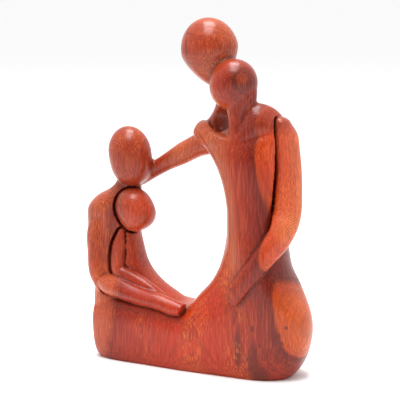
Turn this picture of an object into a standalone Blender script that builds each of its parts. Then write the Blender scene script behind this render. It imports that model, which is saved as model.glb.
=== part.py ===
"""Family group carved from one block of wood: an adult embraces a second one from behind and reaches
an arm out to a seated figure that holds a small child.

Run it with blender --background --python part.py. Metres, +Z up, the front faces -Y, and the origin is on
the ground under the middle of the block.
"""

import math

import bmesh
import bpy
from mathutils import Matrix, Vector

# The carving keeps its pose and proportions as shares of its own height. The tables below are in
# four-hundredths of that height, which are millimetres while the height is 400 mm.
HEIGHT = 0.400
UNIT = HEIGHT / 400

# Tools and finish.
SANDING_GRAIN = 0.0022  # the voxel that the flowing masses are fused with
FINE_GRAIN = 0.0013  # the finer voxel, after the grooves are cut
SANDING_PASSES = 6  # smoothing passes over the fused masses
KEPT_FACETS = 0.12  # the share of the fused faces that is kept
FINAL_FACETS = 0.0275  # the share of the finer faces that is kept at the end
GOUGE_WIDTH = 1.1  # the cut beside an arm or a head that lies on the body, in units
SEAM_HALF_WIDTH = 2.0  # the cut where two heads touch, in units

# The middle of the carving's bounding box in the tables, in units. The origin is put there.
MIDDLE = Vector((0.55, -1.75, 0))

RING_SIDES = 24
STEPS_BETWEEN_RIBS = 3
DOME_STEPS = 3

# A rib is a cross-section: its two edges in the front view, x and z of each, then the depth y of its
# middle, its half depth, and how square it is, from 2 for an ellipse.
BASE_AND_EMBRACED = [
    (-120, 8, -121, 62, 0, 28, 2.6),
    (-115, -6, -118, 75, 0, 37, 2.8),
    (-90, -12, -90, 80, 0, 42, 3.0),
    (-45, -12, -45, 78, 0, 43, 3.0),
    (0, -12, -4, 73, 0, 44, 3.0),
    (50, -13, 13, 90, 0, 44, 2.8),
    (100, -13, 25, 104, 0, 44, 2.6),
    (128.5, 6.5, 33, 119, 0, 43, 2.4),
    (140, 33, 38, 134, 0, 42, 2.3),
    (142.5, 62, 41, 149, 0, 41, 2.2),
    (132, 91, 43, 162, 0, 40, 2.2),
    (118.5, 117, 43, 176, 0, 38, 2.2),
    (112, 143, 42, 190, 0, 36, 2.3),
    (108, 170, 40, 205, -1, 34, 2.3),
    (107, 200, 36, 221, -3, 31, 2.3),
    (107, 228, 31, 236, -5, 29, 2.3),
    (106, 250, 24, 248, -6, 27, 2.3),
    (106, 268, 14, 259, -7, 25, 2.3),
    (105, 281, 8, 266, -7, 21, 2.2),
    (102, 288, 12, 268, -6, 15, 2.1),
    (96, 292, 18, 270, -4, 8, 2.0),
]
EMBRACED_SHOULDERS = [
    (0, 267, 9, 286, 1, 15, 2.0),
    (7, 262, 18, 285, -8, 12, 2.0),
    (19, 258, 29, 278, -17, 9, 2.0),
    (36, 255, 41, 273, -21, 8.5, 2.0),
    (56, 256, 56, 272, -20, 9, 2.0),
    (74, 266, 66, 284, -16, 11, 2.0),
    (88, 280, 72, 300, -10, 12, 2.0),
    (98, 283, 79, 308, -4, 13, 2.0),
    (104, 276, 93, 303, 2, 13, 2.0),
    (106, 266, 102, 293, 8, 12, 2.0),
]
EMBRACED_NECK = [
    (72, 262, 48, 262, -14, 12, 2.0),
    (70, 276, 49, 276, -15, 11.5, 2.0),
    (69, 288, 48, 287, -14, 11.5, 2.0),
    (73, 298, 46, 295, -12, 12.5, 2.0),
    (78, 310, 44, 303, -10, 14, 2.0),
    (78, 322, 44, 314, -8, 15, 2.0),
]
ADULT_BACK = [
    (102, 140, 52, 140, 8, 24, 2.2),
    (103, 175, 48, 185, 10, 25, 2.2),
    (107, 215, 40, 220, 12, 26, 2.2),
    (110, 250, 26, 248, 14, 26, 2.2),
    (108, 270, 10, 264, 16, 24, 2.2),
    (103, 284, 6, 276, 17, 21, 2.2),
    (90, 295, 8, 284, 17, 18, 2.2),
    (72, 304, 14, 292, 16, 16, 2.0),
    (60, 314, 20, 304, 14, 15, 2.0),
    (50, 330, 22, 322, 11, 15, 2.0),
]
REACHING_ARM = [
    (34, 290, 44, 250, 16, 15, 2.0),
    (12, 281, 26, 245, 16, 15, 2.0),
    (-8, 266, 2, 241, 16, 13.5, 2.0),
    (-28, 256, -21, 231, 15, 12, 2.0),
    (-46, 243.5, -39, 223.5, 15, 10.5, 2.0),
    (-64, 231.5, -57, 214, 15, 9.5, 2.0),
    (-82, 219, -76, 203, 16, 9, 2.0),
    (-98, 210, -95, 195, 18, 8.5, 2.0),
    (-110, 202, -109, 190, 21, 7, 2.0),
]
SEATED_BODY = [
    (-84, 20, -124, 20, 0, 36, 2.4),
    (-80, 60, -126, 60, 0, 35, 2.3),
    (-80, 85, -127, 85, 0, 33, 2.2),
    (-82, 110, -133, 112, 2, 31, 2.2),
    (-84, 140, -138, 140, 3, 29, 2.2),
    (-84, 162, -141, 164, 3, 28, 2.2),
    (-86, 178, -140.5, 179, 1, 26, 2.1),
    (-87, 190, -128, 191, 0, 21, 2.0),
    (-87, 200, -115, 199, 0, 15, 2.0),
    (-87, 210, -106.5, 208, 0, 11.5, 2.0),
    (-83, 224, -102, 224, 0, 12, 2.0),
]
SEATED_UPPER_ARM = [
    (-100, 188, -118, 184, -4, 12, 2.0),
    (-102, 174, -130, 170, -9, 14, 2.0),
    (-105, 150, -136, 148, -13, 16, 2.0),
    (-106, 125, -134.5, 123, -16, 16.5, 2.0),
    (-104, 104, -131, 100, -19, 16.5, 2.0),
    (-96, 92, -120, 82, -21, 15, 2.0),
]
CHILD_BODY = [
    (-73, 165, -96, 165, 0, 14, 2.0),
    (-74, 150, -100, 150, 0, 20, 2.0),
    (-71, 133, -102, 133, 0, 23, 2.1),
    (-66, 115, -102, 105, 0, 26, 2.2),
    (-57, 102, -92, 82, 0, 27, 2.2),
    (-43, 91, -70, 64, 0, 26, 2.2),
    (-26, 81, -45, 54, 0, 26, 2.2),
    (-8, 70, -20, 48, 0, 24, 2.2),
]
EMBRACING_ARM = [
    (114, 286, 95, 291, 5, 11, 2.0),
    (121, 274, 94.5, 276, 4, 14, 2.0),
    (125, 258, 96.5, 258, 3, 15, 2.0),
    (128, 236, 98, 236, 1, 16, 2.0),
    (131, 212, 100, 210, -4, 16, 2.0),
    (134, 190, 102, 193, -11, 15, 2.0),
    (133, 171, 104, 187, -19, 14, 2.0),
    (124, 153, 103, 172, -27, 12.5, 2.0),
    (110, 135, 91, 152, -34, 11, 2.0),
    (96, 117, 79, 133, -37, 9.5, 2.2),
    (83, 101, 67, 115, -39, 8.5, 2.4),
    (73, 88.5, 59, 99, -40, 7.5, 2.8),
]
SEATED_FOREARM = [
    (-108, 100, -114, 88, -27, 9, 2.0),
    (-98, 102, -106, 80, -30, 11, 2.0),
    (-86, 101, -93, 76, -32, 11.5, 2.0),
    (-71, 97, -77, 73.5, -34, 11, 2.1),
    (-52, 91.5, -57, 71, -35.5, 10, 2.2),
    (-28, 87, -33, 68.5, -36, 9, 2.3),
    (-9, 82, -15, 64.5, -36.5, 8.5, 2.5),
    (3, 78.5, -4, 65, -36.5, 7.5, 2.8),
]
CHILD_ARM = [
    (-85, 152, -94, 150, -14, 8, 2.0),
    (-83, 138, -99, 137, -18, 9, 2.0),
    (-82, 122, -100.5, 120, -20, 10, 2.0),
    (-81.5, 113, -98.5, 105, -22, 10, 2.0),
    (-78.5, 110.5, -90, 94.5, -23.5, 10, 2.0),
    (-71, 108, -78, 89.5, -25, 9, 2.0),
    (-58, 103, -64, 85.5, -26, 8.5, 2.0),
    (-42, 95, -47, 80, -27, 7.5, 2.0),
    (-28, 86, -32, 75, -27, 6.5, 2.0),
]


def remove_everything():
    for obj in list(bpy.data.objects):
        bpy.data.objects.remove(obj)


def curve_value(a, b, c, d, t):
    """A number on the smooth curve between b and c."""
    return 0.5 * (
        2 * b + (c - a) * t + (2 * a - 5 * b + 4 * c - d) * t * t + (3 * b - a - 3 * c + d) * t**3
    )


def between_ribs(ribs, steps):
    """The ribs, with steps - 1 more between each pair."""
    padded = [ribs[0], *ribs, ribs[-1]]
    smooth = []
    for i in range(len(ribs) - 1):
        four = padded[i : i + 4]
        for step in range(steps):
            smooth.append(tuple(curve_value(*values, step / steps) for values in zip(*four)))
    smooth.append(ribs[-1])
    return smooth


def superellipse(angle, squareness):
    power = 2 / squareness
    across = math.copysign(abs(math.cos(angle)) ** power, math.cos(angle))
    deep = math.copysign(abs(math.sin(angle)) ** power, math.sin(angle))
    return across, deep


def ring_of(rib, grow):
    """The centre of a rib and the points round it."""
    x1, z1, x2, z2, y, half_depth, squareness = rib
    centre = Vector(((x1 + x2) / 2, y, (z1 + z2) / 2))
    half = Vector(((x1 - x2) / 2, 0, (z1 - z2) / 2))
    half *= (half.length + grow) / half.length
    points = []
    for i in range(RING_SIDES):
        across, deep = superellipse(math.tau * i / RING_SIDES, squareness)
        points.append(centre + half * across + Vector((0, deep * (half_depth + grow), 0)))
    return centre, points


def close_rings(name, rings, first_pole, last_pole):
    """A closed mesh through rings of as many points each, with a pole at each end."""
    mesh = bmesh.new()
    loops = [[mesh.verts.new((point - MIDDLE) * UNIT) for point in ring] for ring in rings]
    count = len(loops[0])
    for below, above in zip(loops, loops[1:]):
        for i in range(count):
            j = (i + 1) % count
            mesh.faces.new((below[i], below[j], above[j], above[i]))
    for pole, loop in ((first_pole, loops[0]), (last_pole, loops[-1])):
        tip = mesh.verts.new((pole - MIDDLE) * UNIT)
        for i in range(count):
            mesh.faces.new((tip, loop[i], loop[(i + 1) % count]))
    bmesh.ops.recalc_face_normals(mesh, faces=mesh.faces)
    data = bpy.data.meshes.new(name)
    mesh.to_mesh(data)
    mesh.free()
    obj = bpy.data.objects.new(name, data)
    bpy.context.scene.collection.objects.link(obj)
    return obj


def dome(centre, ring, outwards, length):
    """Rings that round off an end, and its pole."""
    rings = []
    for step in range(1, DOME_STEPS):
        angle = math.radians(90 * step / DOME_STEPS)
        middle = centre + outwards * length * math.sin(angle)
        rings.append([middle + (point - centre) * math.cos(angle) for point in ring])
    return rings, centre + outwards * length


def loft(name, ribs, start_round=4, end_round=4, grow=0, lift=(0, 0, 0)):
    """A solid limb or body through its ribs. grow fattens it, and lift moves it."""
    found = [ring_of(rib, grow) for rib in between_ribs(ribs, STEPS_BETWEEN_RIBS)]
    centres, rings = [c for c, _ in found], [r for _, r in found]
    start_way = (centres[0] - centres[1]).normalized()
    end_way = (centres[-1] - centres[-2]).normalized()
    start_dome, start_pole = dome(centres[0], rings[0], start_way, start_round + grow)
    end_dome, end_pole = dome(centres[-1], rings[-1], end_way, end_round + grow)
    rings = [*reversed(start_dome), *rings, *end_dome]
    obj = close_rings(name, rings, start_pole, end_pole)
    obj.data.transform(Matrix.Translation(Vector(lift) * UNIT))
    return obj


def egg(name, centre, half_width, half_depth, above, below, lean, taper=(1.35, 0.7), grow=0, lift=(0, 0, 0)):
    """A head: round above its widest line, and tapered below it to the chin. It leans about Y."""
    power, root = taper
    rings = []
    half_rings = RING_SIDES // 2
    for step in range(1, half_rings):
        angle = math.pi * step / half_rings
        if angle <= math.pi / 2:
            height, width = (above + grow) * math.cos(angle), math.sin(angle)
        else:
            share = -math.cos(angle)
            height, width = -(below + grow) * share, (1 - share**power) ** root
        rings.append(
            [
                Vector(
                    (
                        (half_width + grow) * width * math.cos(math.tau * i / RING_SIDES),
                        (half_depth + grow) * width * math.sin(math.tau * i / RING_SIDES),
                        height,
                    )
                )
                for i in range(RING_SIDES)
            ]
        )
    obj = close_rings(name, rings, Vector((0, 0, above + grow)), Vector((0, 0, -below - grow)))
    pivot = Matrix.Translation(-MIDDLE * UNIT)
    turn = Matrix.Rotation(math.radians(lean), 4, "Y")
    move = Matrix.Translation((Vector(centre) + Vector(lift)) * UNIT)
    obj.data.transform(move @ pivot @ turn @ pivot.inverted())
    return obj


def adult_head(**more):
    return egg("adult_head", (15, 5, 363.4), 32.8, 32, 37, 40, -10, **more)


def embraced_head(**more):
    return egg("embraced_head", (50.6, -8, 329), 26.5, 26, 27, 31, 27, taper=(2.2, 0.55), **more)


def seated_head(**more):
    return egg("seated_head", (-86.5, 0, 242), 25.5, 25, 32, 38.5, -7, taper=(3.0, 0.45), **more)


def child_head(**more):
    return egg("child_head", (-76.5, -6, 178), 22.5, 23, 25, 28, -28, taper=(2.8, 0.45), **more)


def embracing_arm(**more):
    return loft("embracing_arm", EMBRACING_ARM, 6, 3, **more)


def seated_forearm(**more):
    return loft("seated_forearm", SEATED_FOREARM, 6, 3, **more)


def child_arm(**more):
    return loft("child_arm", CHILD_ARM, 5, 4, **more)


def helper(obj):
    obj.hide_render = True
    obj.display_type = "WIRE"
    return obj


def join(objects, name):
    """One object of them all. Their surfaces still cross."""
    mesh = bmesh.new()
    for obj in objects:
        mesh.from_mesh(obj.data)
        bpy.data.objects.remove(obj)
    data = bpy.data.meshes.new(name)
    mesh.to_mesh(data)
    mesh.free()
    joined = bpy.data.objects.new(name, data)
    bpy.context.scene.collection.objects.link(joined)
    return joined


def add_boolean(obj, operation, other, solver="EXACT"):
    modifier = obj.modifiers.new(f"{operation.lower()} {other.name}", "BOOLEAN")
    modifier.operation = operation
    modifier.object = other
    modifier.solver = solver


def finish(carving, stage, grain, passes, kept):
    """Fuses what crosses, sands it, and keeps a share of the facets."""
    remesh = carving.modifiers.new(f"{stage} fuse", "REMESH")
    remesh.mode = "VOXEL"
    remesh.voxel_size = grain
    sand = carving.modifiers.new(f"{stage} sand", "SMOOTH")
    sand.factor = 0.5
    sand.iterations = passes
    thin = carving.modifiers.new(f"{stage} facets", "DECIMATE")
    thin.ratio = kept


def fuse_masses():
    """The bodies and the heads, fused and sanded into one flowing surface."""
    masses = [
        loft("base_and_embraced", BASE_AND_EMBRACED, 6, 3),
        loft("embraced_shoulders", EMBRACED_SHOULDERS, 5, 6),
        loft("embraced_neck", EMBRACED_NECK),
        loft("adult_back", ADULT_BACK),
        loft("reaching_arm", REACHING_ARM),
        loft("seated_body", SEATED_BODY),
        loft("seated_upper_arm", SEATED_UPPER_ARM, 8, 10),
        loft("child_body", CHILD_BODY, 3, 6),
        adult_head(),
        embraced_head(),
        seated_head(),
    ]
    carving = join(masses, "family_carving")
    finish(carving, "rough", SANDING_GRAIN, SANDING_PASSES, KEPT_FACETS)
    return carving


def lay_on(carving, make, outwards, solver="EXACT"):
    """Cuts a narrow groove round a form that lies on the body, then joins the form."""
    groove = make(grow=GOUGE_WIDTH, lift=outwards)
    groove.name += "_groove"
    add_boolean(carving, "DIFFERENCE", helper(groove), solver)
    add_boolean(carving, "UNION", helper(make()), solver)


def seam_gouge(make_one, make_other):
    """A thin ring along the line where two heads touch: what lies near both of their surfaces."""
    ring = make_one(grow=SEAM_HALF_WIDTH)
    ring.name = "seam_between_heads"
    add_boolean(ring, "DIFFERENCE", helper(make_one(grow=-SEAM_HALF_WIDTH)))
    add_boolean(ring, "INTERSECT", helper(make_other(grow=SEAM_HALF_WIDTH)))
    add_boolean(ring, "DIFFERENCE", helper(make_other(grow=-SEAM_HALF_WIDTH)))
    return helper(ring)


def hollow_between_necks():
    return egg("hollow", (33, -5, 290), 13, 9, 15, 15, 0, taper=(2, 0.5))


def saw_flat(carving):
    bpy.ops.mesh.primitive_cube_add(size=1)
    bench = bpy.context.active_object
    bench.name = "below_the_ground"
    bench.data.transform(Matrix.Diagonal((400 * UNIT, 200 * UNIT, 60 * UNIT, 1)))
    bench.data.transform(Matrix.Translation((0, 0, -30 * UNIT)))
    add_boolean(carving, "DIFFERENCE", helper(bench), "MANIFOLD")


def polished_wood():
    material = bpy.data.materials.new("polished_wood")
    material.use_nodes = True
    shader = material.node_tree.nodes["Principled BSDF"]
    shader.inputs["Base Color"].default_value = (0.36, 0.075, 0.025, 1)
    shader.inputs["Roughness"].default_value = 0.35
    return material


def main():
    remove_everything()
    carving = fuse_masses()
    add_boolean(carving, "DIFFERENCE", helper(hollow_between_necks()))
    add_boolean(carving, "DIFFERENCE", seam_gouge(adult_head, embraced_head))
    lay_on(carving, child_head, (0.7, -1.4, 0))
    lay_on(carving, child_arm, (0, -2.2, 0))
    lay_on(carving, seated_forearm, (0, -2.6, -0.6), "MANIFOLD")
    lay_on(carving, embracing_arm, (-0.5, -2.6, 0), "MANIFOLD")
    finish(carving, "fine", FINE_GRAIN, 1, FINAL_FACETS)
    saw_flat(carving)
    carving.data.materials.append(polished_wood())
    carving.data.shade_smooth()


main()
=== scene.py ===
# %% [markdown]
# # A family group carved from one block of wood
#
# The real object is a table ornament: one block of reddish hardwood, taken here as 400 mm tall, carved all
# round, sanded, stained and polished. Nothing is glued on. So this lesson makes one mesh and one wood, and
# spends its effort on the carver's three jobs: rough out the masses, cut the limbs free with narrow grooves,
# and sand everything until it flows.
#
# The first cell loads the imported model. It is the fixed frame: the new mesh has to fill the same box.

import math

import bmesh
import bpy
import numpy as np
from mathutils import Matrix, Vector
from mathutils.bvhtree import BVHTree


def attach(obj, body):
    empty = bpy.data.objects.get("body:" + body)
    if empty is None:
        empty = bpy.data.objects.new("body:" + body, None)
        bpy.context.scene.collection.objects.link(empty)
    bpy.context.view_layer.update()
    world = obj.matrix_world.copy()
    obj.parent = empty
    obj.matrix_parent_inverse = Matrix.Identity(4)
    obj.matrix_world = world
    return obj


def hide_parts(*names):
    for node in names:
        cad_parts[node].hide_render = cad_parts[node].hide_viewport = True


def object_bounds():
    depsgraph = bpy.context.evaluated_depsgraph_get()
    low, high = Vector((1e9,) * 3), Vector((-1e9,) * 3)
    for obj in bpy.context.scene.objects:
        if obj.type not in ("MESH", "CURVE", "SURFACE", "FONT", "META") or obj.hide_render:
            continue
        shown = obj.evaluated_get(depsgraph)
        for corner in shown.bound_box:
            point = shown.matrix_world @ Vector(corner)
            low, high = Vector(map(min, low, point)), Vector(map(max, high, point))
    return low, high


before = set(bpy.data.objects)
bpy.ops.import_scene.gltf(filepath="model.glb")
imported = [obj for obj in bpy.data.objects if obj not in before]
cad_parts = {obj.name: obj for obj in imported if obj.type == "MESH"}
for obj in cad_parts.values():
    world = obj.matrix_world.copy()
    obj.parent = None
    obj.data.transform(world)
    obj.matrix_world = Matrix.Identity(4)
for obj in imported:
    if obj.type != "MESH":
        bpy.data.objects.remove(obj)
cad_low, cad_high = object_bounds()
print("the block, in mm:", [round(1000 * side) for side in cad_high - cad_low])

# %% [markdown]
# ## Measuring like the carver
#
# A carver marks out a figure in shares of the block's height, not in millimetres. Here one unit is a
# four-hundredth of the height. The numbers below are places in the front view: x runs to the right, z runs
# up, and y is the depth, with the front at minus y. The tables are centred on the block when they are used.

# %% Units
BLOCK_HEIGHT = 0.400
SHARES = 400
UNIT = BLOCK_HEIGHT / SHARES
MIDDLE = Vector((0.55, -1.75, 0))


def place(x, y, z):
    """A point of the tables, in metres in the frame."""
    return (Vector((x, y, z)) - MIDDLE) * UNIT


# %% [markdown]
# ## A limb or a body: one ring, extruded along ribs
#
# Bodies and arms are long forms that bend and swell, so they could be built from metaballs, from curves with
# a bevel, or by drawing out a ring. The ring wins: every cross-section has its own width, depth and tilt, as
# in real carving.
#
# A rib is that cross-section. It is given by its two edges in the front view, the depth of its middle, half
# its thickness, and how square it is: 2 is an ellipse, and 3 is nearly a rounded rectangle. Between the ribs
# a smooth curve fills in more rings, so a limb needs only as many ribs as it has bends.

# %% Ribs and rings
RING_SIDES = 40
STEPS_BETWEEN_RIBS = 5
DOME_STEPS = 5
DOME_TURN = 88


def curve_value(a, b, c, d, t):
    """A number on the smooth curve between b and c, at the share t of the way."""
    return 0.5 * (
        2 * b + (c - a) * t + (2 * a - 5 * b + 4 * c - d) * t * t + (3 * b - a - 3 * c + d) * t**3
    )


def between_ribs(ribs):
    padded = [ribs[0], *ribs, ribs[-1]]
    smooth = []
    for i in range(len(ribs) - 1):
        four = padded[i : i + 4]
        for step in range(STEPS_BETWEEN_RIBS):
            smooth.append(tuple(curve_value(*v, step / STEPS_BETWEEN_RIBS) for v in zip(*four)))
    return [*smooth, ribs[-1]]


def ring_of(rib):
    """The middle of a rib and the points round it, in metres."""
    x1, z1, x2, z2, y, half_depth, squareness = rib
    middle = place((x1 + x2) / 2, y, (z1 + z2) / 2)
    half = Vector((x1 - x2, 0, z1 - z2)) * UNIT / 2
    points = []
    for i in range(RING_SIDES):
        angle = math.tau * i / RING_SIDES
        across = math.copysign(abs(math.cos(angle)) ** (2 / squareness), math.cos(angle))
        deep = math.copysign(abs(math.sin(angle)) ** (2 / squareness), math.sin(angle))
        points.append(middle + half * across + Vector((0, deep * half_depth * UNIT, 0)))
    return middle, points


def dome(middle, points, way, length):
    """Rings that close an end like a thimble. At a turn of 90 degrees the last would be a point."""
    rings = []
    for step in range(1, DOME_STEPS + 1):
        angle = math.radians(DOME_TURN * step / DOME_STEPS)
        tip = middle + way * length * math.sin(angle)
        rings.append([tip + (point - middle) * math.cos(angle) for point in points])
    return rings


# %% [markdown]
# The extrusion itself is done as by hand: a filled circle is added, then extruded once for each ring, and
# each time the new ring is moved to its place. An integer layer on the vertices remembers which place in the
# ring each one has, and an extrusion copies it to the new ring.

# %% Draw out a limb
def draw_out(name, ribs, start_round, end_round):
    found = [ring_of(rib) for rib in between_ribs(ribs)]
    start_way = (found[0][0] - found[1][0]).normalized()
    end_way = (found[-1][0] - found[-2][0]).normalized()
    rings = [
        *reversed(dome(*found[0], start_way, start_round * UNIT)),
        *(points for _, points in found),
        *dome(*found[-1], end_way, end_round * UNIT),
    ]
    bpy.ops.object.select_all(action="DESELECT")
    bpy.ops.mesh.primitive_circle_add(vertices=RING_SIDES, fill_type="NGON")
    limb = bpy.context.active_object
    limb.name = name
    bpy.ops.object.mode_set(mode="EDIT")
    edit = bmesh.from_edit_mesh(limb.data)
    place_in_ring = edit.verts.layers.int.new("place in ring")
    for i, vertex in enumerate(edit.verts):
        vertex[place_in_ring] = i
        vertex.co = rings[0][i]
    for ring in rings[1:]:
        bpy.ops.mesh.extrude_region_move()
        edit = bmesh.from_edit_mesh(limb.data)
        place_in_ring = edit.verts.layers.int["place in ring"]
        for vertex in edit.verts:
            if vertex.select:
                vertex.co = ring[vertex[place_in_ring]]
    bpy.ops.mesh.select_all(action="SELECT")
    bpy.ops.mesh.normals_make_consistent(inside=False)
    bpy.ops.object.mode_set(mode="OBJECT")
    return limb


# %% [markdown]
# ## The rib tables
#
# The proportions stay close to the solid's. First the largest mass: the long base, which turns up at its
# right end and grows into the body of the figure in front.

# %% Base and front figure
BASE_AND_EMBRACED = [
    (-120, 9, -123, 62, 0, 28, 2.6),
    (-115, -6, -119, 75, 0, 37, 2.8),
    (-90, -12, -90, 80, 0, 42, 3.0),
    (-45, -12, -45, 78, 0, 43, 3.0),
    (0, -12, -4, 73, 0, 44, 3.0),
    (50, -13, 13, 90, 0, 44, 2.8),
    (100, -13, 25, 104, 0, 44, 2.6),
    (127.5, 7, 33, 119, 0, 43, 2.4),
    (140, 33, 38, 134, 0, 42, 2.3),
    (142.5, 62, 41, 149, 0, 41, 2.2),
    (131, 92, 43, 162, 0, 40, 2.2),
    (117.8, 117.5, 43.5, 176, 0, 38, 2.2),
    (112, 143, 43.5, 190, 0, 36, 2.3),
    (108, 170, 41.5, 205, -1, 34, 2.3),
    (107, 200, 37.3, 221, -3, 31, 2.3),
    (107, 228, 31.3, 236, -5, 29, 2.3),
    (106, 250, 24, 248, -6, 27, 2.3),
    (106, 268, 14, 259, -6, 22.5, 2.3),
    (105, 281, 8, 266, -4, 15.5, 2.2),
    (102, 288, 12, 268, -3, 12, 2.1),
    (96, 292, 18, 270, -3, 8, 2.0),
]
EMBRACED_SHOULDERS = [
    (0, 267, 9, 286, 1, 15, 2.0),
    (7, 262, 18, 285, -8, 12, 2.0),
    (19, 258, 29, 278, -17, 9, 2.0),
    (36, 255, 41, 273, -21, 8.5, 2.0),
    (56, 256, 56, 272, -20, 9, 2.0),
    (78, 262, 64, 286, -15, 12.5, 2.0),
    (94, 271, 70, 302, -9.5, 14.5, 2.0),
    (102, 275, 78, 308, -4, 15, 2.0),
    (104, 276, 93, 303, 2, 13, 2.0),
    (106, 266, 102, 293, 8, 12, 2.0),
]
EMBRACED_NECK = [
    (72, 262, 48, 262, -14, 12, 2.0),
    (70, 276, 49, 276, -15, 11.5, 2.0),
    (69, 288, 48, 287, -14, 11.5, 2.0),
    (73, 298, 46, 295, -12, 12.5, 2.0),
    (78, 310, 44, 303, -10, 14, 2.0),
    (78, 322, 44, 314, -8, 15, 2.0),
]

# %% [markdown]
# The adult behind is mostly a back: it shares the lower body with the figure in front, and only its
# shoulders, its neck and its arms stand free. One arm reaches out to the seated figure's shoulder.

# %% Adult behind
ADULT_BACK = [
    (102, 140, 52, 140, 8, 24, 2.2),
    (103, 175, 48, 185, 10, 25, 2.2),
    (107, 215, 40, 220, 12, 26, 2.2),
    (110, 250, 26, 248, 14, 26, 2.2),
    (108, 270, 10, 264, 16, 24, 2.2),
    (103, 284, 6, 276, 17, 21, 2.2),
    (90, 295, 8, 284, 17, 18, 2.2),
    (72, 304, 14, 292, 16, 16, 2.0),
    (60, 314, 20, 304, 14, 15, 2.0),
    (50, 330, 22, 322, 11, 15, 2.0),
]
REACHING_ARM = [
    (34, 290, 44, 252, 16, 15, 2.0),
    (12, 283, 26, 246.5, 16, 15, 2.0),
    (-8, 267.5, 2, 242, 16, 13.5, 2.0),
    (-28, 256, -21, 231, 15, 12, 2.0),
    (-46, 243.5, -39, 223.5, 15, 10.5, 2.0),
    (-64, 231.5, -57, 214, 15, 9.5, 2.0),
    (-82, 219, -76, 203, 16, 9, 2.0),
    (-98, 210, -95, 195, 18, 8.5, 2.0),
    (-110, 202, -109, 190, 21, 7, 2.0),
]
EMBRACING_ARM = [
    (113.5, 285.5, 96, 289, 5, 11, 2.0),
    (121.7, 274, 94.5, 276, 4, 14, 2.0),
    (124.7, 258, 96.5, 258, 3, 15, 2.0),
    (128, 236, 98, 236, 1, 16, 2.0),
    (131, 212, 100, 210, -4, 16, 2.0),
    (133.4, 190, 102, 193, -11, 15, 2.0),
    (132, 172, 104, 187, -19, 14, 2.0),
    (124, 153, 103, 172, -27, 12.5, 2.0),
    (110, 135, 91, 152, -34, 11, 2.0),
    (96, 117, 79, 133, -38, 9.5, 2.0),
    (83, 101, 67, 115, -41, 8.5, 2.6),
    (72, 86.5, 57, 98, -42.5, 8, 4.0),
]

# %% [markdown]
# The seated figure and the child lean into each other. Their upper bodies flow together, and only the two
# forearms are cut free.

# %% Seated figure and child
SEATED_BODY = [
    (-84, 20, -124, 20, 0, 36, 2.4),
    (-80, 60, -128.5, 60, 0, 35, 2.3),
    (-80, 85, -129.5, 85, 0, 33, 2.2),
    (-82, 110, -132.5, 112, 2, 31, 2.2),
    (-84, 140, -139.8, 141, 3, 29, 2.2),
    (-84, 162, -141.5, 163, 3, 28, 2.2),
    (-86, 178, -139.3, 178, 1, 26, 2.1),
    (-76, 190, -127.5, 191, 0, 21, 2.0),
    (-72, 200, -113, 199, 1, 15, 2.0),
    (-74, 210, -104, 208, 1, 11, 2.0),
    (-81, 225, -98.5, 225, 0, 12, 2.0),
]
SEATED_UPPER_ARM = [
    (-100, 188, -118, 184, -4, 12, 2.0),
    (-102, 174, -130, 170, -9, 14, 2.0),
    (-105, 150, -136, 148, -13, 16, 2.0),
    (-106, 125, -133.5, 123, -16, 16.5, 2.0),
    (-104, 104, -130, 100, -19, 16.5, 2.0),
    (-96, 92, -120, 82, -21, 15, 2.0),
]
SEATED_FOREARM = [
    (-108, 100, -114, 88, -27, 9, 2.0),
    (-98, 102, -106, 80, -30, 12, 1.8),
    (-86, 101, -93, 76, -32, 13.5, 1.65),
    (-71, 97, -77, 73.5, -34, 13.5, 1.6),
    (-52, 91.5, -57, 71, -35.5, 12.5, 1.6),
    (-28, 87, -33, 68.5, -36, 11.5, 1.65),
    (-9, 82, -15, 64.5, -36.5, 10.5, 1.8),
    (3, 78.5, -4, 65, -36.5, 9.5, 2.1),
]
CHILD_BODY = [
    (-73, 165, -96, 165, 0, 14, 2.0),
    (-75, 150, -100, 150, 0, 20, 2.0),
    (-72, 133, -102, 133, 0, 23, 2.1),
    (-67, 114.5, -102, 105, 0, 26, 2.2),
    (-58, 101.5, -92, 82, 0, 27, 2.2),
    (-44, 90, -70, 64, 0, 26, 2.2),
    (-27, 80, -45, 54, 0, 26, 2.2),
    (-9, 69, -20, 48, 0, 24, 2.2),
]
CHILD_ARM = [
    (-85, 152, -94, 150, -14, 8, 2.0),
    (-83, 138, -99, 137, -18, 9, 2.0),
    (-82, 122, -100.5, 120, -20, 10, 2.0),
    (-81.5, 113, -98.5, 105, -22, 10, 2.0),
    (-78.5, 110.5, -90, 94.5, -23.5, 10, 2.0),
    (-71, 108, -78, 89.5, -25, 9, 2.0),
    (-58, 103, -64, 85.5, -26, 8.5, 2.0),
    (-42, 95, -47, 80, -27, 7.5, 2.0),
    (-28, 86, -32, 75, -27, 6.5, 2.0),
]

# %% [markdown]
# ## The heads
#
# The heads have no faces. Each is an egg: a half ball above its widest line, and below it a form that
# narrows to the chin. A sphere is added and its lower half is reshaped ring by ring. Two numbers steer that:
# a higher power keeps the cheeks full for longer, and a lower root makes the chin blunter. The sphere is
# added leaning, so its own axis is the head's axis while it is reshaped.

# %% Carve an egg
HEAD_SEGMENTS = 64
HEAD_RINGS = 40


def egg(name, middle, half_width, half_depth, above, below, lean, power, root):
    bpy.ops.object.select_all(action="DESELECT")
    bpy.ops.mesh.primitive_uv_sphere_add(
        segments=HEAD_SEGMENTS,
        ring_count=HEAD_RINGS,
        radius=1,
        location=place(*middle),
        rotation=(0, math.radians(lean), 0),
    )
    head = bpy.context.active_object
    head.name = name
    for vertex in head.data.vertices:
        x, y, z = vertex.co
        width = max(math.hypot(x, y), 1e-6)
        if z < 0:
            wanted = max(1 - (-z) ** power, 0) ** root
            x, y = x * wanted / width, y * wanted / width
        height = above if z > 0 else below
        vertex.co = Vector((x * half_width, y * half_depth, z * height)) * UNIT
    bpy.ops.object.transform_apply(location=True, rotation=True, scale=True)
    return head


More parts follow.
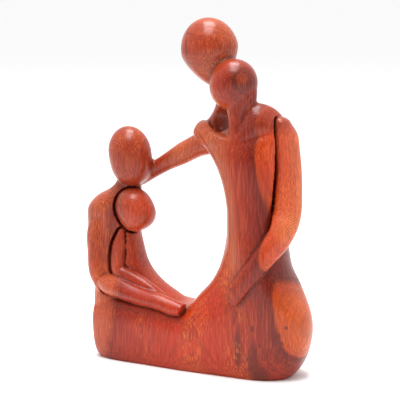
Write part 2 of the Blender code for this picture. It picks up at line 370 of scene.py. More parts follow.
def adult_head():
    return egg(
        "adult_head",
        (15.4, 5, 363.4),
        half_width=32.8,
        half_depth=32,
        above=37,
        below=43,
        lean=-14,
        power=1.35,
        root=0.7,
    )


def embraced_head():
    return egg(
        "embraced_head",
        (50.9, -8, 329),
        half_width=26.5,
        half_depth=26,
        above=27,
        below=31,
        lean=27,
        power=2.2,
        root=0.55,
    )


def seated_head():
    return egg(
        "seated_head",
        (-85.7, 0, 242),
        half_width=25.5,
        half_depth=25,
        above=32,
        below=37.8,
        lean=-10,
        power=2.8,
        root=0.45,
    )


def child_head():
    return egg(
        "child_head",
        (-77.1, -6, 178.7),
        half_width=22.3,
        half_depth=23,
        above=24.5,
        below=28,
        lean=-30,
        power=3.0,
        root=0.45,
    )


# %% [markdown]
# ## Small helpers for modifiers
#
# Each step of the carving is a modifier that is applied at once, as a carver can't undo a cut.

# %% Apply a modifier
def apply_modifier(obj, kind, **settings):
    bpy.ops.object.select_all(action="DESELECT")
    obj.select_set(True)
    bpy.context.view_layer.objects.active = obj
    modifier = obj.modifiers.new(kind.lower(), kind)
    for name, value in settings.items():
        setattr(modifier, name, value)
    bpy.ops.object.modifier_apply(modifier=modifier.name)


def cut(obj, tool, operation="DIFFERENCE"):
    """Cuts obj with a tool, or joins it to obj, and throws the tool away."""
    apply_modifier(obj, "BOOLEAN", object=tool, operation=operation, solver="MANIFOLD")
    bpy.data.objects.remove(tool)


def triangles(obj):
    return sum(len(polygon.vertices) - 2 for polygon in obj.data.polygons)


# %% [markdown]
# ## Rough out the masses
#
# The forms that flow into each other are joined and fused with a voxel remesh, which keeps only the outer
# surface. Then the surface is smoothed, which does what sanding does: it rounds the inner corners where two
# masses meet.

# %% Fuse and sand
ROUGH_GRAIN = 0.0015
ROUGH_PASSES = 13
SMOOTHING = 0.5

masses = [
    draw_out("base_and_embraced", BASE_AND_EMBRACED, 6, 3),
    draw_out("embraced_shoulders", EMBRACED_SHOULDERS, 5, 6),
    draw_out("embraced_neck", EMBRACED_NECK, 4, 4),
    draw_out("adult_back", ADULT_BACK, 4, 4),
    draw_out("reaching_arm", REACHING_ARM, 4, 4),
    draw_out("seated_body", SEATED_BODY, 4, 4),
    draw_out("seated_upper_arm", SEATED_UPPER_ARM, 8, 10),
    draw_out("child_body", CHILD_BODY, 3, 6),
    adult_head(),
    embraced_head(),
    seated_head(),
]
bpy.ops.object.select_all(action="DESELECT")
for mass in masses:
    mass.select_set(True)
carving = masses[0]
bpy.context.view_layer.objects.active = carving
bpy.ops.object.join()
carving.name = "carved_family_group"
apply_modifier(carving, "REMESH", mode="VOXEL", voxel_size=ROUGH_GRAIN)
apply_modifier(carving, "SMOOTH", factor=SMOOTHING, iterations=ROUGH_PASSES)
print("masses fused:", triangles(carving), "triangles")

# %% [markdown]
# ## Cut the limbs free
#
# An arm that lies on a body is set off by a narrow groove. Drawing every groove would be slow. Instead each
# limb is its own gouge: a copy of it, a little fatter and moved a little out of the wood, is cut away, and
# then the limb itself is put back. What stays open is a groove round the limb, deepest at its edge and
# closed underneath it.

# %% Lay a limb in its groove
def lay_on(obj, limb, gouge, width, outwards):
    """Cuts obj with a gouge that is fattened by width and moved outwards, then joins the limb to it."""
    bpy.ops.object.select_all(action="DESELECT")
    gouge.select_set(True)
    bpy.context.view_layer.objects.active = gouge
    bpy.ops.object.mode_set(mode="EDIT")
    bpy.ops.mesh.select_all(action="SELECT")
    bpy.ops.transform.shrink_fatten(value=width * UNIT)
    bpy.ops.transform.translate(value=Vector(outwards) * UNIT)
    bpy.ops.object.mode_set(mode="OBJECT")
    cut(obj, gouge)
    cut(obj, limb, "UNION")


def score(obj, name, points, half_width):
    """Cuts a line with a round gouge that runs through the points."""
    ribs = []
    for i, (x, y, z) in enumerate(points):
        before, after = points[max(i - 1, 0)], points[min(i + 1, len(points) - 1)]
        along = Vector((after[0] - before[0], after[2] - before[2])).normalized() * half_width
        ribs.append((x - along.y, z + along.x, x + along.y, z - along.x, y, half_width, 2))
    cut(obj, draw_out(name, ribs, half_width, half_width))


HOLLOW_BESIDE_NECK = {
    "middle": (33, -4, 288.5),
    "half_width": 14.5,
    "half_depth": 12.5,
    "above": 15,
    "below": 17,
    "lean": 0,
    "power": 2,
    "root": 0.5,
}
CREASE_UNDER_SHOULDER = [
    (1, -9, 280), (5, -13, 277), (10.5, -19, 273.5), (16, -22.5, 269),
    (22.5, -25.5, 263), (27.5, -26, 257), (32.5, -26.3, 250.5), (37, -27, 243),
]
VALLEY_BESIDE_NECK = [
    (78, -14, 316), (75.4, -17.5, 312.6), (73, -20, 308.4),
    (70.5, -21, 302.5), (68, -22, 296), (65, -25, 289),
]
BLUNT = 1.2

cut(carving, egg("hollow_beside_neck", **HOLLOW_BESIDE_NECK))
score(carving, "crease_under_shoulder", CREASE_UNDER_SHOULDER, half_width=2.1)
score(carving, "valley_beside_neck", VALLEY_BESIDE_NECK, half_width=1.5)
lay_on(carving, child_head(), child_head(), width=2.2, outwards=(0.6, -2.0, 0))
lay_on(
    carving,
    draw_out("child_arm", CHILD_ARM, 5, 4),
    draw_out("child_arm_gouge", CHILD_ARM, 5, 4),
    width=2.3,
    outwards=(-0.1, -3.2, 0),
)
lay_on(
    carving,
    draw_out("seated_forearm", SEATED_FOREARM, 6, BLUNT),
    draw_out("seated_forearm_gouge", SEATED_FOREARM[1:], 7, BLUNT),
    width=1.5,
    outwards=(0, -3.2, -0.4),
)
lay_on(
    carving,
    draw_out("embracing_arm", EMBRACING_ARM, 6, BLUNT),
    draw_out("embracing_arm_gouge", EMBRACING_ARM, 6, BLUNT),
    width=1.4,
    outwards=(-0.4, -3.0, -0.3),
)
print("limbs cut free:", triangles(carving), "triangles")

# %% [markdown]
# ## Fine sanding
#
# A fine voxel remesh keeps the grooves, closes any pocket that is sealed inside and gives even triangles
# again. A few smoothing passes then take off the marks of the gouge and round the lips of the grooves.

# %% Finish the form
FINE_GRAIN = 0.0009
FINE_PASSES = 4
MOST_TRIANGLES = 185000

apply_modifier(carving, "REMESH", mode="VOXEL", voxel_size=FINE_GRAIN)
apply_modifier(carving, "SMOOTH", factor=SMOOTHING, iterations=FINE_PASSES)
apply_modifier(carving, "DECIMATE", ratio=MOST_TRIANGLES / triangles(carving))
print("finely sanded:", triangles(carving), "triangles")

# %% [markdown]
# ## The flat underside
#
# The cuts stay narrow, as a gouge leaves them. The underside is sawn flat with a bisect, so that the group
# stands. Edges sharper than 40 degrees, mostly those of the grooves and the underside, are shaded sharp, and
# all the rest is shaded smooth. Last, the mesh is fitted to the solid's box.

# %% Saw, shade and fit
SAME_POINT = 0.00002
SAW_TOLERANCE = 0.000001
SHARP_ANGLE = math.radians(40)

bpy.ops.object.mode_set(mode="EDIT")
bpy.ops.mesh.select_all(action="SELECT")
bpy.ops.mesh.remove_doubles(threshold=SAME_POINT)
bpy.ops.mesh.select_all(action="SELECT")
bpy.ops.mesh.bisect(
    plane_co=(0, 0, 0), plane_no=(0, 0, 1), use_fill=True, clear_inner=True, threshold=SAW_TOLERANCE
)
bpy.ops.object.mode_set(mode="OBJECT")
bpy.ops.object.shade_smooth_by_angle(angle=SHARP_ANGLE)


def values_of(mesh, holder, name):
    values = np.empty(len(mesh.vertices) * 3)
    getattr(mesh, holder).foreach_get(name, values)
    return values.reshape(-1, 3)


places = values_of(carving.data, "vertices", "co")
low, high = places.min(axis=0), places.max(axis=0)
print("finished:", triangles(carving), "triangles")
print("box in mm:", (1000 * low).round(2), (1000 * high).round(2))
fitted = np.array(cad_low) + (places - low) * (np.array(cad_high - cad_low) / (high - low))
carving.data.vertices.foreach_set("co", fitted.ravel())
carving.data.update()

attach(carving, "root")
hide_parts("family_carving")

# %% [markdown]
# ## Where stain gathers and shade is painted
#
# In a real carving the grooves look almost black-red: stain collects there and a cloth never reaches it.
# Here the darkening of grooves and hollows is partly that stain and partly painted shade, the shade that
# falls in them. A shader can't see a groove, but the mesh can. A copy is smoothed hard, which lifts the
# grooves and flattens the ridges, and the distance that each vertex moved along its normal is kept on the
# real mesh as an attribute. It belongs to the surface, so it stays where it is from every side.

# %% Measure the creases and the hollows
def keep_hollows(obj, name, grain, passes, deep):
    """Keeps how far a wiped copy stands above each vertex, as a share of deep: 1 in a deep groove."""
    wiped = obj.copy()
    wiped.data = obj.data.copy()
    bpy.context.collection.objects.link(wiped)
    apply_modifier(wiped, "REMESH", mode="VOXEL", voxel_size=grain)
    apply_modifier(wiped, "SMOOTH", factor=SMOOTHING, iterations=passes)
    surface = BVHTree.FromObject(wiped, bpy.context.evaluated_depsgraph_get())
    bpy.data.objects.remove(wiped)
    nearest = np.array([surface.find_nearest(vertex.co)[0] for vertex in obj.data.vertices])
    apart = nearest - values_of(obj.data, "vertices", "co")
    above = (apart * values_of(obj.data, "vertex_normals", "vector")).sum(axis=1)
    attribute = obj.data.attributes.new(name, "FLOAT", "POINT")
    attribute.data.foreach_set("value", np.clip(above / deep, -1, 1))
    print(name, "in mm:", round(1000 * above.min(), 2), "to", round(1000 * above.max(), 2))


keep_hollows(carving, "crease", grain=0.002, passes=12, deep=0.0012)
keep_hollows(carving, "hollow", grain=0.003, passes=40, deep=0.004)

# %% [markdown]
# ## The wood
#
# The photo doesn't say which wood it is. Its rings, open pores and colour fit suar, a tropical hardwood of
# the albizia family, so that is the guess here: sanded fine, stained a little redder, and given one thin
# satin coat. To the eye that is a warm red-brown ground, darker bands of old growth, orange areas like
# sapwood, open pores drawn out along the grain, and a soft sheen rather than a mirror.
#
# A flat image would smear on a form this round. Wood is solid, so the pattern is solid too: it is worked out
# from the place in the block, and the surface just cuts through it. That makes the ovals on the bulging
# places without any extra work, as in the real block, where the saw and the gouge cut through the rings.

# %% Colours and a helper for nodes
MM = 0.001


def colour(code):
    """An sRGB hex colour as the linear numbers that a shader wants."""
    shares = [int(code[i : i + 2], 16) / 255 for i in (1, 3, 5)]
    return tuple(v / 12.92 if v <= 0.04045 else ((v + 0.055) / 1.055) ** 2.4 for v in shares) + (1,)


def add_node(tree, kind, inputs=(), output=None, **settings):
    """Adds a node, sets it, fills or links its inputs by number or name, and returns one output."""
    new = tree.nodes.new(kind)
    for name, value in settings.items():
        setattr(new, name, value)
    for name, value in inputs.items() if isinstance(inputs, dict) else enumerate(inputs):
        if isinstance(value, bpy.types.NodeSocket):
            tree.links.new(value, new.inputs[name])
        else:
            new.inputs[name].default_value = value
    return new.outputs[output] if output else next(found for found in new.outputs if found.enabled)


# %% [markdown]
# The pattern is worked out from the place in the block, in millimetres. The object's own coordinates give
# it, so the pattern stays in the wood wherever the group is moved. The Map Range nodes below all read
# alike: a value, where its change starts, where it ends, and the result at each of the two.

# %% Start the material
wood = bpy.data.materials.new("satin_suar_wood")
wood.use_nodes = True
tree = wood.node_tree
shader = tree.nodes["Principled BSDF"]
object_place = add_node(tree, "ShaderNodeTexCoord", output="Object")
in_mm = add_node(tree, "ShaderNodeVectorMath", {0: object_place, "Scale": 1 / MM}, operation="SCALE")
axes = tree.nodes.new("ShaderNodeSeparateXYZ")
tree.links.new(in_mm, axes.inputs[0])
sideways, upwards = axes.outputs["X"], axes.outputs["Z"]

# %% [markdown]
# ### Clouds of noise
#
# Every irregular thing in wood is a cloud of noise that is stretched along the grain, which runs upwards
# here. Each line of the table gives one: how large its spots are along x, y and z in millimetres, how much
# finer detail lies in it, how strong that detail is, and a shift that keeps it from repeating another one.
# Real fibres and pores are about 0.1 to 0.3 mm wide. A pixel covers about 1 mm of the object in a picture of
# this size, so they are drawn some five times as coarse.

# %% Noise
CLOUDS = {
    "slow_bend": ((45, 45, 120), 2, 0.5, 0),
    "quick_bend": ((8, 8, 55), 2, 0.5, 7),
    "fibres": ((1.2, 1.2, 50), 3, 0.65, 0),
    "streaks": ((3.5, 3.5, 45), 3, 0.6, 31),
    "flecks": ((1.1, 1.1, 8), 2, 0.6, 53),
    "patches": ((30, 30, 70), 1, 0.5, 3),
    "pores": ((0.8, 0.8, 18), 1, 0.5, 71),
}
cloud = {}
for name, (size, detail, detail_strength, shift) in CLOUDS.items():
    stretched = add_node(
        tree,
        "ShaderNodeMapping",
        {
            "Vector": in_mm,
            "Location": (shift, shift, shift),
            "Scale": tuple(1 / length for length in size),
        },
    )
    cloud[name] = add_node(
        tree,
        "ShaderNodeTexNoise",
        {"Vector": stretched, "Scale": 1, "Detail": detail, "Roughness": detail_strength},
    )

# %% [markdown]
# ### Growth rings
#
# The rings of a tree are tubes round its pith, so the distance from the pith says how old the wood is at any
# point. On this block the ovals and the pale left end roughly fit one pith, which runs up near the middle.
# The tree was slightly conical, so the tubes lean in: a share of the height is added to the distance. Two
# clouds of noise bend the rings, as a real trunk is never round, and low down at the right they bend more.

# %% Distance from the pith
PITH = (15, 18, 0)
RISE = 0.16
SLOW_BEND = 5
QUICK_BEND = 3
FOOT_PULL = 9
WAIST_PULL = 1.2

flat_place = add_node(
    tree, "ShaderNodeVectorMath", [in_mm, (1, 1, 0), tuple(-v for v in PITH)], operation="MULTIPLY_ADD"
)
across = add_node(tree, "ShaderNodeVectorMath", [flat_place], operation="LENGTH")
leaning = add_node(tree, "ShaderNodeMath", [upwards, RISE, across], operation="MULTIPLY_ADD")
slow = add_node(tree, "ShaderNodeMath", [cloud["slow_bend"], 0.5], operation="SUBTRACT")
quick = add_node(tree, "ShaderNodeMath", [cloud["quick_bend"], 0.5], operation="SUBTRACT")
bent_once = add_node(tree, "ShaderNodeMath", [slow, SLOW_BEND, leaning], operation="MULTIPLY_ADD")
bent_twice = add_node(tree, "ShaderNodeMath", [quick, QUICK_BEND, bent_once], operation="MULTIPLY_ADD")
at_right = add_node(
    tree, "ShaderNodeMapRange", [sideways, 85, 110, 0, 1], interpolation_type="SMOOTHSTEP"
)
towards_foot = add_node(
    tree, "ShaderNodeMapRange", [upwards, 45, 10, 0, FOOT_PULL], interpolation_type="SMOOTHSTEP"
)
below_waist = add_node(
    tree, "ShaderNodeMapRange", [upwards, 165, 120, 0, WAIST_PULL], interpolation_type="SMOOTHSTEP"
)
pull = add_node(tree, "ShaderNodeMath", [towards_foot, below_waist], operation="ADD")
pulled = add_node(tree, "ShaderNodeMath", [pull, at_right], operation="MULTIPLY")
ring = add_node(tree, "ShaderNodeMath", [bent_twice, pulled], operation="SUBTRACT")

# %% [markdown]
# Now each age of wood gets its colour. From the pith outwards the ground is red-brown, it darkens over 30 mm
# to almost chestnut, then it jumps to orange within a millimetre. That edge outlines the ovals. The right
# and the left of the block, and its foot and its top, differ a little, so there are four such tables, and
# they run into each other.

# %% Colours by age
YOUNGEST = 40
OLDEST = 190
ZONES = {
    "low_right": [
        (40, "#c84f2e"), (58, "#c23a1a"), (68, "#c43416"), (80, "#bc3618"), (88, "#b0341d"),
        (100, "#a8321c"), (108, "#9c2d19"), (115, "#8f2a18"), (121.8, "#761d10"), (123.2, "#b43f18"),
        (128, "#cc511f"),
        (136, "#d05824"), (141, "#c24c24"), (147, "#b64325"), (160, "#bd4b2b"), (190, "#c85c36"),
    ],
    "high_right": [
        (40, "#bc4c30"), (60, "#b9472c"), (80, "#bd5533"), (88, "#c25c36"), (96, "#b64a2a"),
        (102, "#ae381c"), (107, "#a33018"), (113, "#952714"), (118, "#862011"), (121.8, "#761d10"),
        # The pale pinkish stops at 141 and 148 are partly the arm's own colour and partly a painted
        # highlight.
        (123.2, "#b23b14"), (128, "#c83d15"), (134, "#cb4827"), (141, "#d45838"), (148, "#d66342"),
        (156, "#de7546"), (190, "#d27043"),
    ],
    "low_left": [
        (40, "#c04c2a"), (60, "#be3c1e"), (84, "#b8351c"), (104, "#b02f18"), (116, "#a02a17"),
        (125, "#962817"), (129.5, "#b44427"), (138, "#c45335"), (150, "#c05133"), (190, "#bc4f2e"),
    ],
    "high_left": [
        (40, "#c05535"), (60, "#bc4728"), (84, "#b94225"), (104, "#bc4528"), (118, "#c2492d"),
        (128, "#ba472c"), (135, "#aa3e27"), (140, "#92311f"), (145, "#862b1b"), (150, "#983520"),
        (158, "#aa4228"), (170, "#b24a2d"), (190, "#b85236"),
    ],
}
HEAD_RED = colour("#a43a23")
OLD_RED = colour("#8c3022")
TOP_RED = colour("#a0381f")
HEAD_SHARE = 0.85
OLD_SHARE = 0.75
TOP_SHARE = 0.6

age = add_node(tree, "ShaderNodeMapRange", [ring, YOUNGEST, OLDEST, 0, 1])
ground_of = {}
for name, zones in ZONES.items():
    ground_of[name] = add_node(tree, "ShaderNodeValToRGB", [age])
    stops = ground_of[name].node.color_ramp.elements
    stops.remove(stops[1])
    for i, (distance, code) in enumerate(zones):
        spot = (distance - YOUNGEST) / (OLDEST - YOUNGEST)
        stop = stops[0] if i == 0 else stops.new(spot)
        stop.position = spot
        stop.color = colour(code)

# %% [markdown]
# A real block has no such zones, as its rings change slowly from end to end. One table for the whole block
# gave orange bands where the photo has none, so each quarter has its own, and soft steps join them.

# %% Blend the four sides of the block
right_when_low = add_node(
    tree, "ShaderNodeMapRange", [sideways, -55, -25, 0, 1], interpolation_type="SMOOTHSTEP"
)
low_side = add_node(
    tree,
    "ShaderNodeMix",
    {"Factor": right_when_low, "A": ground_of["low_left"], "B": ground_of["low_right"]},
    data_type="RGBA",
)
in_left_heads = add_node(
    tree, "ShaderNodeMapRange", [upwards, 190, 212, 0, HEAD_SHARE], interpolation_type="SMOOTHSTEP"
)
left_top = add_node(
    tree,
    "ShaderNodeMix",
    {"Factor": in_left_heads, "A": ground_of["high_left"], "B": HEAD_RED},
    data_type="RGBA",
)
right_when_high = add_node(
    tree, "ShaderNodeMapRange", [sideways, -50, -20, 0, 1], interpolation_type="SMOOTHSTEP"
)
high_side = add_node(
    tree,
    "ShaderNodeMix",
    {"Factor": right_when_high, "A": left_top, "B": ground_of["high_right"]},
    data_type="RGBA",
)
high_up = add_node(
    tree, "ShaderNodeMapRange", [upwards, 85, 150, 0, 1], interpolation_type="SMOOTHSTEP"
)
ground = add_node(
    tree, "ShaderNodeMix", {"Factor": high_up, "A": low_side, "B": high_side}, data_type="RGBA"
)

# %% [markdown]
# The shoulder and the back of the front head are cut from older, darker wood. The head behind has a thin
# dark growth line down its side, and the front head has a small knot: an orange eye with a dark swirl.

# %% The shoulder, the growth line and the knot
KNOT = (69.5, -22, 336)
KNOT_EYE = colour("#b84e2e")
DARK_RED = colour("#5e2118")
GROWTH_LINE = -2.2
LINE_WANDER = 14
KNOT_WANDER = 12
LINE_STRENGTH = 0.55
SWIRL_STRENGTH = 0.5
EYE_STRENGTH = 0.5

at_shoulder = add_node(
    tree, "ShaderNodeMapRange", [upwards, 270, 286, 0, 1], interpolation_type="SMOOTHSTEP"
)
right_of_neck = add_node(
    tree, "ShaderNodeMapRange", [sideways, 50, 66, 0, OLD_SHARE], interpolation_type="SMOOTHSTEP"
)
old_wood = add_node(tree, "ShaderNodeMath", [at_shoulder, right_of_neck], operation="MULTIPLY")
older = add_node(
    tree, "ShaderNodeMix", {"Factor": old_wood, "A": ground, "B": OLD_RED}, data_type="RGBA"
)
wander = add_node(tree, "ShaderNodeMath", [slow, LINE_WANDER, sideways], operation="MULTIPLY_ADD")
off_line = add_node(tree, "ShaderNodeMath", [wander, GROWTH_LINE], operation="SUBTRACT")
from_line = add_node(tree, "ShaderNodeMath", [off_line], operation="ABSOLUTE")
line = add_node(
    tree, "ShaderNodeMapRange", [from_line, 2.4, 0.4, 0, LINE_STRENGTH], interpolation_type="SMOOTHSTEP"
)
in_top_head = add_node(
    tree, "ShaderNodeMapRange", [upwards, 330, 350, 0, 1], interpolation_type="SMOOTHSTEP"
)
line_amount = add_node(tree, "ShaderNodeMath", [line, in_top_head], operation="MULTIPLY")
redder = add_node(tree, "ShaderNodeMath", [in_top_head, TOP_SHARE], operation="MULTIPLY")
top_head = add_node(
    tree, "ShaderNodeMix", {"Factor": redder, "A": older, "B": TOP_RED}, data_type="RGBA"
)
lined = add_node(
    tree, "ShaderNodeMix", {"Factor": line_amount, "A": top_head, "B": DARK_RED}, data_type="RGBA"
)
straight_to_knot = add_node(tree, "ShaderNodeVectorMath", [in_mm, KNOT], operation="DISTANCE")
to_knot = add_node(
    tree, "ShaderNodeMath", [slow, KNOT_WANDER, straight_to_knot], operation="MULTIPLY_ADD"
)
swirl_outside = add_node(
    tree, "ShaderNodeMapRange", [to_knot, 19, 11, 0, SWIRL_STRENGTH], interpolation_type="SMOOTHSTEP"
)
swirled = add_node(
    tree, "ShaderNodeMix", {"Factor": swirl_outside, "A": lined, "B": DARK_RED}, data_type="RGBA"
)
eye = add_node(
    tree, "ShaderNodeMapRange", [to_knot, 9, 2, 0, EYE_STRENGTH], interpolation_type="SMOOTHSTEP"
)
knotted = add_node(
    tree, "ShaderNodeMix", {"Factor": eye, "A": swirled, "B": KNOT_EYE}, data_type="RGBA"
)

# %% [markdown]
# ### Grain
#
# Between the wide bands lie thin rings, and along them run the fibres. A noise in one dimension, over the
# distance from the pith, gives the rings. The stretched cloud gives the fibres. Both mostly darken the
# ground, and the palest fibres take a golden tint.

# %% Thin rings and fibres
GOLDEN = colour("#cf6f36")
THIN_RING_SCALE = 0.42
GOLD_STRENGTH = 0.18

thin_rings = add_node(
    tree,
    "ShaderNodeTexNoise",
    {"W": ring, "Scale": THIN_RING_SCALE, "Detail": 2, "Roughness": 0.6},
    noise_dimensions="1D",
)
ring_shade = add_node(
    tree, "ShaderNodeMapRange", [thin_rings, 0.35, 0.68, 0.86, 0.68], interpolation_type="SMOOTHSTEP"
)
fibre_shade = add_node(
    tree, "ShaderNodeMapRange", [cloud["fibres"], 0.3, 0.7, 1.06, 0.68], interpolation_type="SMOOTHSTEP"
)
shade = add_node(tree, "ShaderNodeMath", [ring_shade, fibre_shade], operation="MULTIPLY")
shaded = add_node(tree, "ShaderNodeVectorMath", {0: knotted, "Scale": shade}, operation="SCALE")
gold_amount = add_node(
    tree,
    "ShaderNodeMapRange",
    [cloud["fibres"], 0.5, 0.28, 0, GOLD_STRENGTH],
    interpolation_type="SMOOTHSTEP",
)
golden = add_node(
    tree, "ShaderNodeMix", {"Factor": gold_amount, "A": shaded, "B": GOLDEN}, data_type="RGBA"
)

# %% [markdown]
# Thin dark streaks cross the old wood low down at the right. The specks and the one dark patch are single
# marks, so they are placed one by one, and noise frays their edges. Each has a place and half its size
# along x, y, z.

# %% Dark streaks and specks
STREAK = colour("#5c1c13")
STREAK_STRENGTH = 0.6
SPECK_STRENGTH = 0.8
SPECK_FRAY = 2
SPECKS = [
    ((89.6, -42.2, 61.9), (1.8, 3, 2.6)),
    ((97.8, -41.3, 43.4), (1.5, 3, 1.7)),
    ((125.8, -32.2, 65), (1.5, 3, 1.7)),
    ((118.5, -36, 56), (1.6, 4, 2.4)),
    ((121.5, -35, 47), (1.6, 4, 2.2)),
    ((-56.7, -38.8, 61.7), (1.5, 3, 1.7)),
    ((72.7, -43, 37), (2.4, 8, 17)),
    ((90, -39, 20), (4, 11, 19)),
    ((96, -36, 6), (8, 11, 9)),
]

streak_strength = add_node(
    tree,
    "ShaderNodeMapRange",
    [cloud["streaks"], 0.54, 0.62, 0, STREAK_STRENGTH],
    interpolation_type="SMOOTHSTEP",
)
young_side = add_node(
    tree, "ShaderNodeMapRange", [ring, 78, 92, 0, 1], interpolation_type="SMOOTHSTEP"
)
old_side = add_node(
    tree, "ShaderNodeMapRange", [ring, 118, 124, 1, 0], interpolation_type="SMOOTHSTEP"
)
low_down = add_node(
    tree, "ShaderNodeMapRange", [upwards, 190, 100, 0, 1], interpolation_type="SMOOTHSTEP"
)
far_right = add_node(
    tree, "ShaderNodeMapRange", [sideways, 25, 60, 0, 1], interpolation_type="SMOOTHSTEP"
)
in_dark_wood = add_node(tree, "ShaderNodeMath", [young_side, old_side], operation="MULTIPLY")
in_that_corner = add_node(tree, "ShaderNodeMath", [low_down, far_right], operation="MULTIPLY")
there = add_node(tree, "ShaderNodeMath", [in_dark_wood, in_that_corner], operation="MULTIPLY")
marks = add_node(tree, "ShaderNodeMath", [streak_strength, there], operation="MULTIPLY")
for place_of_speck, half_size in SPECKS:
    centred = add_node(
        tree, "ShaderNodeVectorMath", [in_mm, Vector(place_of_speck) - MIDDLE], operation="SUBTRACT"
    )
    scaled = add_node(tree, "ShaderNodeVectorMath", [centred, half_size], operation="DIVIDE")
    to_speck = add_node(tree, "ShaderNodeVectorMath", [scaled], operation="LENGTH")
    frayed = add_node(
        tree, "ShaderNodeMath", [cloud["streaks"], SPECK_FRAY, to_speck], operation="MULTIPLY_ADD"
    )
    dot = add_node(
        tree,
        "ShaderNodeMapRange",
        [frayed, 2.9, 1.9, 0, SPECK_STRENGTH],
        interpolation_type="SMOOTHSTEP",
    )
    marks = add_node(tree, "ShaderNodeMath", [marks, dot], operation="MAXIMUM")
streaked = add_node(
    tree, "ShaderNodeMix", {"Factor": marks, "A": golden, "B": STREAK}, data_type="RGBA"
)

# %% [markdown]
# The orange wood and the youngest wood have short pale flecks. They come in patches, so one cloud draws them
# and a much larger one says where.

# %% Light flecks
FLECK = colour("#d9762f")
FLECK_STRENGTH = 0.5

fleck_strength = add_node(
    tree,
    "ShaderNodeMapRange",
    [cloud["flecks"], 0.48, 0.7, 0, FLECK_STRENGTH],
    interpolation_type="SMOOTHSTEP",
)
pale_patch = add_node(
    tree, "ShaderNodeMapRange", [cloud["patches"], 0.42, 0.62, 0, 1], interpolation_type="SMOOTHSTEP"
)
in_orange = add_node(
    tree, "ShaderNodeMapRange", [ring, 123, 126, 0, 1], interpolation_type="SMOOTHSTEP"
)
in_young = add_node(
    tree, "ShaderNodeMapRange", [ring, 104, 92, 0, 1], interpolation_type="SMOOTHSTEP"
)
fleck_wood = add_node(tree, "ShaderNodeMath", [in_orange, in_young], operation="MAXIMUM")
fleck_place = add_node(tree, "ShaderNodeMath", [fleck_wood, pale_patch], operation="MULTIPLY")
fleck_amount = add_node(tree, "ShaderNodeMath", [fleck_place, fleck_strength], operation="MULTIPLY")
flecked = add_node(
    tree, "ShaderNodeMix", {"Factor": fleck_amount, "A": streaked, "B": FLECK}, data_type="RGBA"
)

# %% [markdown]
# The elbow bends across the grain, so the fibres are cut at a slant. They show as pale orange ripples.

# %% The ripple of the elbow
ELBOW = (130, -26, 176)
ELBOW_LIGHT = colour("#e58f4c")
ARCS = (150, -20, 150)
ARC_SCALE = 0.12
ELBOW_STRENGTH = 0.6

from_elbow = add_node(tree, "ShaderNodeVectorMath", [in_mm, ELBOW], operation="DISTANCE")
at_elbow = add_node(
    tree, "ShaderNodeMapRange", [from_elbow, 27, 6, 0, ELBOW_STRENGTH], interpolation_type="SMOOTHSTEP"
)
from_arcs = add_node(tree, "ShaderNodeVectorMath", [in_mm, ARCS], operation="SUBTRACT")
arcs = add_node(
    tree,
    "ShaderNodeTexWave",
    {"Vector": from_arcs, "Scale": ARC_SCALE, "Distortion": 6, "Detail": 3, "Detail Scale": 1.1},
    output="Fac",
    wave_type="RINGS",
    rings_direction="SPHERICAL",
)
arc_strength = add_node(
    tree, "ShaderNodeMapRange", [arcs, 0.3, 0.95, 0.12, 0.66], interpolation_type="SMOOTHSTEP"
)
arc_amount = add_node(tree, "ShaderNodeMath", [arc_strength, at_elbow], operation="MULTIPLY")
rippled = add_node(
    tree, "ShaderNodeMix", {"Factor": arc_amount, "A": flecked, "B": ELBOW_LIGHT}, data_type="RGBA"
)

# %% [markdown]
# Open pores are short dark lines along the grain. They come after every other mark but the stain and painted
# shade of the hollows, and the same numbers press them into the surface later.

# %% Pores
PORE = colour("#4a1a14")
PORE_STRENGTH = 0.45

pore_amount = add_node(
    tree,
    "ShaderNodeMapRange",
    [cloud["pores"], 0.62, 0.78, 0, PORE_STRENGTH],
    interpolation_type="SMOOTHSTEP",
)
pored = add_node(
    tree, "ShaderNodeMix", {"Factor": pore_amount, "A": rippled, "B": PORE}, data_type="RGBA"
)

# %% [markdown]
# The two attributes now colour the wood. Wide hollows get a thin brown veil, and the grooves a darker one.
# Each veil is partly stain and partly painted shade.

# %% Stain and painted shade in the hollows and the creases
HOLLOW_STAIN_AND_SHADE = colour("#5a180e")
CREASE_STAIN_AND_SHADE = colour("#3c130c")
HOLLOW_STRENGTH = 0.42
CREASE_STRENGTH = 0.62

hollow = add_node(tree, "ShaderNodeAttribute", output="Fac", attribute_name="hollow")
hollow_amount = add_node(
    tree, "ShaderNodeMapRange", [hollow, 0.12, 1, 0, HOLLOW_STRENGTH], interpolation_type="SMOOTHSTEP"
)
darkened = add_node(
    tree, "ShaderNodeMix", {"Factor": hollow_amount, "A": pored, "B": HOLLOW_STAIN_AND_SHADE}, data_type="RGBA"
)
crease = add_node(tree, "ShaderNodeAttribute", output="Fac", attribute_name="crease")
crease_amount = add_node(
    tree, "ShaderNodeMapRange", [crease, 0.08, 0.95, 0, CREASE_STRENGTH], interpolation_type="SMOOTHSTEP"
)
stained_and_shaded = add_node(
    tree, "ShaderNodeMix", {"Factor": crease_amount, "A": darkened, "B": CREASE_STAIN_AND_SHADE}, data_type="RGBA"
)
tree.links.new(stained_and_shaded, shader.inputs["Base Color"])

# %% [markdown]
# ### Polish
#
# Waxed hardwood reflects a broad, soft light. Its index is near 1.5. Under the wax the wood is rough, at
# 0.36, and the wax is a thin coat at 0.25. The wax gives most of the shine, so the wood's own reflection is
# turned down. The pores stay open, so they are rougher and lie a little deeper.

# %% Sheen and pores in relief
IOR = 1.5
ROUGHNESS = 0.36
WOOD_SPECULAR = 0.08
COAT_WEIGHT = 0.42
COAT_ROUGHNESS = 0.25
PORE_ROUGHNESS = 0.3
FIBRE_RELIEF = 0.25
RELIEF_STRENGTH = 0.3
RELIEF_DEPTH = 0.25 * MM

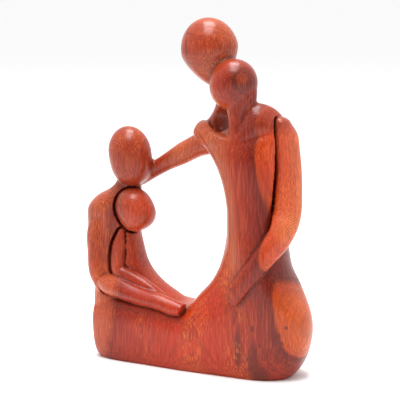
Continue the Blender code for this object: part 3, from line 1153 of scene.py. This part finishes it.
roughness = add_node(
    tree,
    "ShaderNodeMath",
    [pore_amount, PORE_ROUGHNESS, ROUGHNESS],
    operation="MULTIPLY_ADD",
    use_clamp=True,
)
tree.links.new(roughness, shader.inputs["Roughness"])
fibre_relief = add_node(tree, "ShaderNodeMath", [cloud["fibres"], FIBRE_RELIEF], operation="MULTIPLY")
relief = add_node(tree, "ShaderNodeMath", [fibre_relief, pore_amount], operation="SUBTRACT")
bump = add_node(
    tree,
    "ShaderNodeBump",
    {"Height": relief, "Strength": RELIEF_STRENGTH, "Distance": RELIEF_DEPTH},
)
tree.links.new(bump, shader.inputs["Normal"])
shader.inputs["IOR"].default_value = IOR
shader.inputs["Specular IOR Level"].default_value = WOOD_SPECULAR
shader.inputs["Coat Weight"].default_value = COAT_WEIGHT
shader.inputs["Coat Roughness"].default_value = COAT_ROUGHNESS
carving.data.materials.clear()
carving.data.materials.append(wood)
print("wood nodes:", len(tree.nodes))

# %% [markdown]
# ### View
#
# The photo looks a little from the right and from above. The camera stands well back with a long lens, so
# the figures stay upright and nothing near the edge is stretched.

# %% The camera
TARGET = Vector((0.0054, 0.0018, 0.1935))
AZIMUTH = 26
ELEVATION = 10
DISTANCE = 1.4
LENS = 110.34


def way_to(azimuth, elevation):
    """The direction from the target to a place round it, from two angles in degrees."""
    a = math.radians(azimuth)
    e = math.radians(elevation)
    return Vector((math.sin(a) * math.cos(e), -math.cos(a) * math.cos(e), math.sin(e)))


view_from = way_to(AZIMUTH, ELEVATION)
bpy.ops.object.camera_add()
camera = bpy.context.active_object
camera.location = TARGET + view_from * DISTANCE
camera.rotation_euler = (-view_from).to_track_quat("-Z", "Y").to_euler()
camera.data.lens = LENS
bpy.context.scene.camera = camera
print("camera:", DISTANCE, "m away, lens", round(camera.data.lens, 1), "mm")

# %% [markdown]
# ### Studio
#
# Such a carving is mostly photographed on white paper in a light tent. The floor is the sheet of paper. The
# tent glows all round, but less on the camera's side, so the front of the wood keeps its deep colour. Two
# large softboxes stand high behind and high in front. They give the soft highlights on heads and shoulders.

# %% Floor and lights
FLOOR_RADIUS = 60
PAPER = 0.95
TENT_GLOW = 1.15
OPENING_GLOW = 0.34

bpy.ops.mesh.primitive_circle_add(vertices=96, radius=FLOOR_RADIUS, fill_type="NGON")
floor = bpy.context.active_object
floor.name = "floor"
paper = bpy.data.materials.new("pale_paper")
paper.use_nodes = True
paper_shader = paper.node_tree.nodes["Principled BSDF"]
paper_shader.inputs["Base Color"].default_value = (PAPER, PAPER, PAPER, 1)
paper_shader.inputs["Roughness"].default_value = 1
paper_shader.inputs["Specular IOR Level"].default_value = 0
floor.data.materials.append(paper)

world = bpy.data.worlds.new("light_tent")
bpy.context.scene.world = world
world.use_nodes = True
tent = world.node_tree
direction = add_node(tent, "ShaderNodeTexCoord", output="Generated")
opening = add_node(tent, "ShaderNodeVectorMath", [direction, view_from], operation="DOT_PRODUCT")
glow = add_node(
    tent,
    "ShaderNodeMapRange",
    [opening, 0.35, 0.95, TENT_GLOW, OPENING_GLOW],
    interpolation_type="SMOOTHSTEP",
)
tent.nodes["Background"].inputs["Color"].default_value = (1, 1, 1, 1)
tent.links.new(glow, tent.nodes["Background"].inputs["Strength"])
bpy.context.scene.view_settings.view_transform = "Standard"


def softbox(name, azimuth, elevation, distance, size, power):
    away = way_to(azimuth, elevation)
    bpy.ops.object.light_add(type="AREA", location=TARGET + away * distance)
    lamp = bpy.context.active_object
    lamp.name = name
    lamp.rotation_euler = (-away).to_track_quat("-Z", "Y").to_euler()
    lamp.data.size = size
    lamp.data.energy = power


softbox("softbox_above", azimuth=206, elevation=80, distance=2.0, size=0.9, power=38)
softbox("softbox_front", azimuth=10, elevation=72, distance=2.0, size=0.9, power=30)
